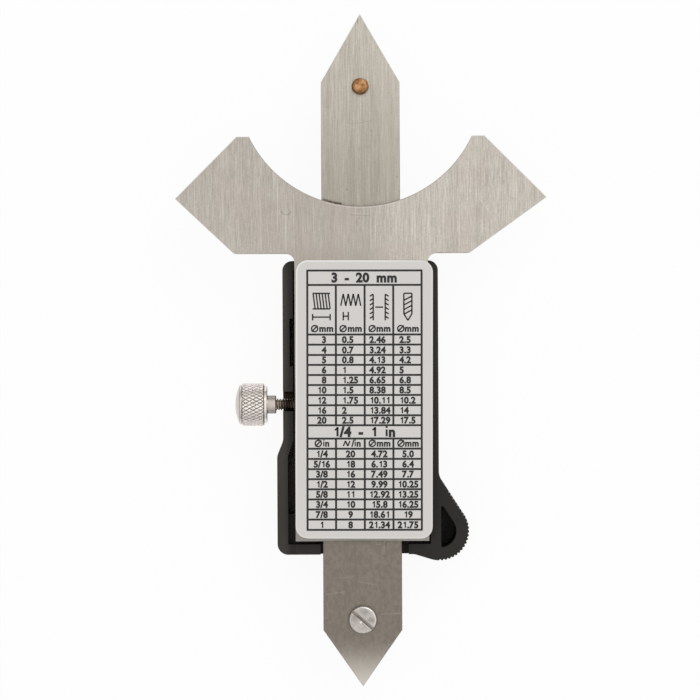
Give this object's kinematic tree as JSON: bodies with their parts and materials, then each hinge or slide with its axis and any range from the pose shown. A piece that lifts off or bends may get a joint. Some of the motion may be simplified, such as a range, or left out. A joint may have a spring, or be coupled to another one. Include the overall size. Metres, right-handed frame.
{
  "type": "digital welding gauge",
  "caption": "Pocket gauge for weld seams: a pointed beam slides through a bow-shaped saddle, read by a display housing with lock screw, thumb rest and sliding battery door.",
  "frame": {"origin": "middle of the footprint's box in the plane of the display face, below the middle of the resting beam", "axes": "+X across the saddle to the side of the thumb rest, +Y along the beam from the housing to the saddle, +Z from the display face to the back label"},
  "size_m": [0.0752, 0.1364, 0.0157],
  "materials": {
    "frame_steel": "brushed",
    "beam_steel": "brushed",
    "brass_parts": "machined",
    "small_screws": "machined",
    "label_grey": "satin printed",
    "housing_black": "fine moulded grain",
    "lens_clear": "clear",
    "display_glass": "display glass",
    "holder_white": "moulded",
    "contact_rubber": "striped contact rubber",
    "board_green": "solder mask",
    "spring_steel": "plated",
    "button_power": "moulded",
    "button_zero": "moulded",
    "button_unit": "moulded",
    "cell_steel": "plated",
    "scale_board": "copper scale board",
    "scale_film": "satin film",
    "copper_pin": "polished copper",
    "stop_screw": "nickel plated",
    "stud_steel": "oiled thread",
    "knob_nickel": "knurled nickel"
  },
  "bodies": {
    "slider": {"saddle_frame": "frame_steel", "gib_strip": "brass_parts", "gib_screws": "small_screws", "label_plate": "label_grey", "housing_shell": "housing_black", "lcd_window": "lens_clear", "lcd_panel": "display_glass", "lcd_frame": "holder_white", "zebra_connectors": "contact_rubber", "circuit_board": "board_green", "board_screws": "small_screws", "housing_screws": "small_screws", "button_domes": "spring_steel", "battery": "cell_steel", "battery_contact_positive": "spring_steel", "battery_contact_negative": "spring_steel"},
    "measuring_beam": {"beam": "beam_steel", "scale_strip": "scale_board", "scale_film": "scale_film", "stop_pin": "copper_pin", "stop_screw": "stop_screw"},
    "clamp_pad": {"lock_pad": "brass_parts"},
    "lock_screw": {"lock_stud": "stud_steel", "lock_knob": "knob_nickel"},
    "power_key": {"button_power": "button_power"},
    "zero_key": {"button_zero": "button_zero"},
    "unit_key": {"button_unit": "button_unit"},
    "cell_door": {"battery_door": "housing_black"}
  },
  "joints": [
    {"name": "beam_slide", "type": "slide", "parent": "slider", "child": "measuring_beam", "axis": [0, 1, 0], "range_m": [-0.0227, 0.0132]},
    {"name": "lock_travel", "type": "slide", "parent": "slider", "child": "clamp_pad", "axis": [1, 0, 0], "range_m": [0, 0.0009]},
    {"name": "lock_turn", "type": "hinge", "parent": "clamp_pad", "child": "lock_screw", "pos_m": [-0.0115, -0.01095, 0.01135], "axis": [1, 0, 0], "range_deg": [0, 720]},
    {"name": "power_press", "type": "slide", "parent": "slider", "child": "power_key", "axis": [0, 0, 1], "range_m": [0, 0.0004], "stiffness_N_per_m": 1500, "springref_m": -0.0003},
    {"name": "zero_press", "type": "slide", "parent": "slider", "child": "zero_key", "axis": [0, 0, 1], "range_m": [0, 0.0004], "stiffness_N_per_m": 1500, "springref_m": -0.0003},
    {"name": "unit_press", "type": "slide", "parent": "slider", "child": "unit_key", "axis": [0, 0, 1], "range_m": [0, 0.0004], "stiffness_N_per_m": 1500, "springref_m": -0.0003},
    {"name": "door_slide", "type": "slide", "parent": "slider", "child": "cell_door", "axis": [0, -1, 0], "range_m": [0, 0.015]}
  ],
  "couplings": [
    {"joint": "lock_turn", "follows": "lock_travel", "rad_per_m": 13963}
  ]
}
